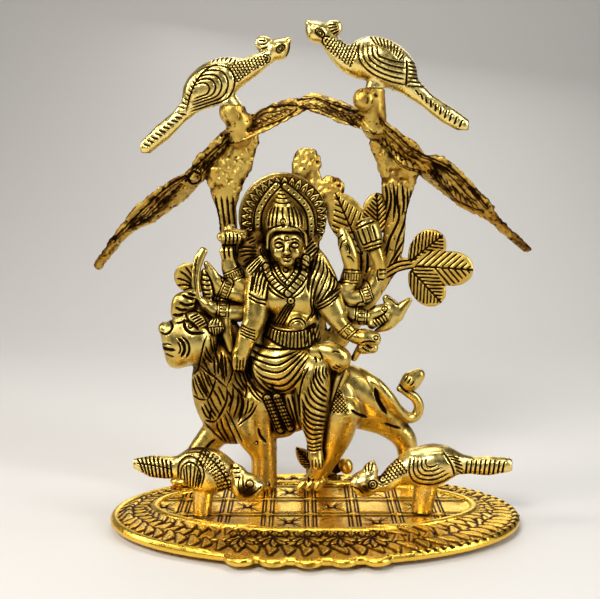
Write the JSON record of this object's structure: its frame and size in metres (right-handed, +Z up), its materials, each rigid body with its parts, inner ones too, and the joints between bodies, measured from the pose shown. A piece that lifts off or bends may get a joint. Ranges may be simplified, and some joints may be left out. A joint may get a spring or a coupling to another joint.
{
  "type": "durga figure",
  "caption": "Cast antique-gold figure of a many-armed goddess seated on a lion before a forked tree with peacocks, on an oval footed plate.",
  "frame": {"origin": "centre of the base plate's flat underside", "axes": "+Z up, the figure faces -Y, the lion walks towards -X"},
  "size_m": [0.2006, 0.1038, 0.2166],
  "materials": {
    "antique_gold": "antique gold plate, polished on the high places, with dark patina in the recesses"
  },
  "bodies": {
    "root": {"base_plate": "antique_gold", "durga_on_lion": "antique_gold", "tree": "antique_gold", "peacock_upper_left": "antique_gold", "peacock_upper_right": "antique_gold", "peacock_lower_left": "antique_gold", "peacock_lower_right": "antique_gold"}
  },
  "joints": []
}
